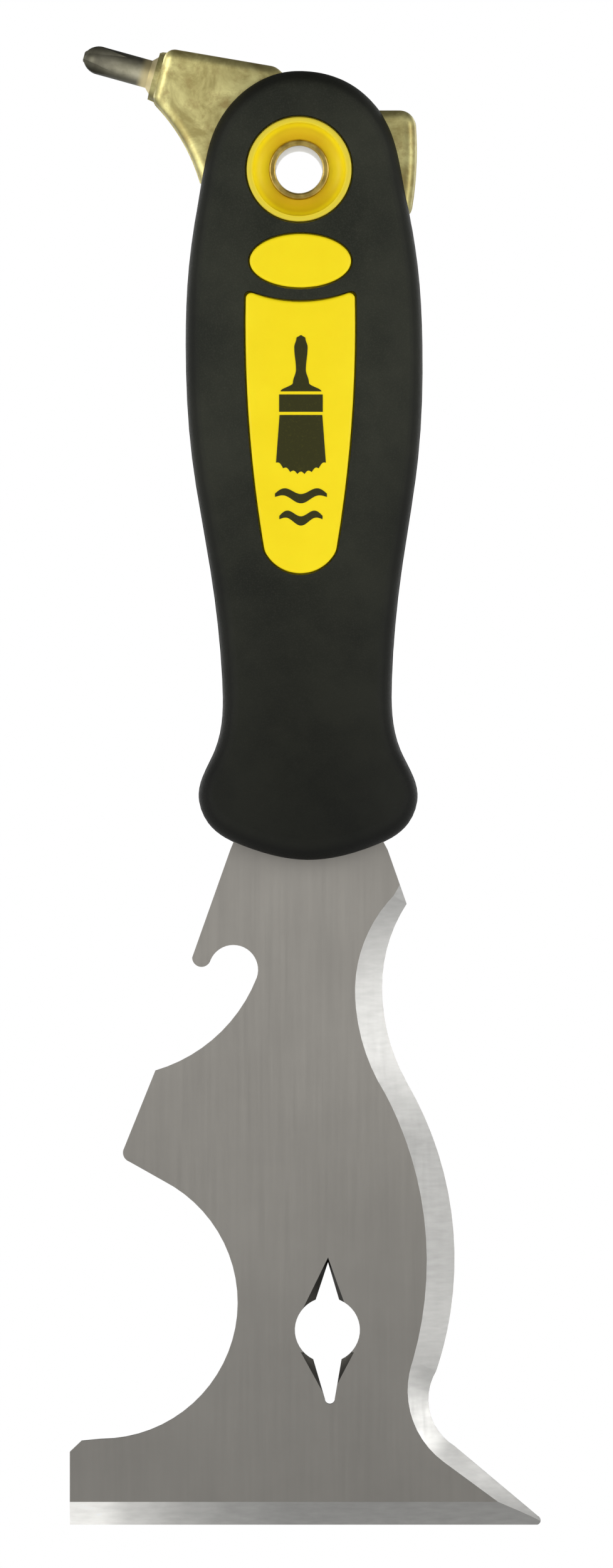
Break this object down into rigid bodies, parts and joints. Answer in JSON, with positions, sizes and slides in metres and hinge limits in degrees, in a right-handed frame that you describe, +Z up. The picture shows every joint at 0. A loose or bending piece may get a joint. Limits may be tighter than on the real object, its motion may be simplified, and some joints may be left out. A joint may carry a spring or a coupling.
{
  "type": "painters multi tool",
  "caption": "Hand tool with a notched scraper blade on a full tang, a soft grip over a moulded core, and a cast cross head with a hammer face and a removable screwdriver bit.",
  "frame": {"origin": "centre of the hanging hole, on the middle plane of the blade", "axes": "+Z up along the handle away from the scraping edge, +Y through the tool from its front face to its back, +X to the hammer side"},
  "size_m": [0.0766, 0.0252, 0.2405],
  "materials": {
    "blade_steel": "brushed lengthwise, ground bevels",
    "yellow_core": "satin moulded polypropylene",
    "soft_grip": "fine matt texture",
    "cast_brass": "cast, brass plated, mottled",
    "bit_steel": "hardened, dark",
    "magnet": "nickel plated",
    "fastener_steel": "zinc plated",
    "eyelet_metal": "rolled, slightly tarnished"
  },
  "bodies": {
    "tool": {"blade": "blade_steel", "core_front": "yellow_core", "core_rear": "yellow_core", "rubber_grip": "soft_grip", "hammer_head": "cast_brass", "bit_magnet": "magnet", "head_pin": "fastener_steel", "hang_eyelet": "eyelet_metal", "eyelet_washer": "eyelet_metal", "tang_rivets": "fastener_steel"},
    "bit": {"screwdriver_bit": "bit_steel"}
  },
  "joints": [
    {"name": "bit_pull", "type": "slide", "parent": "tool", "child": "bit", "axis": [-0.9636, 0, 0.2672], "range_m": [0, 0.0138]}
  ]
}
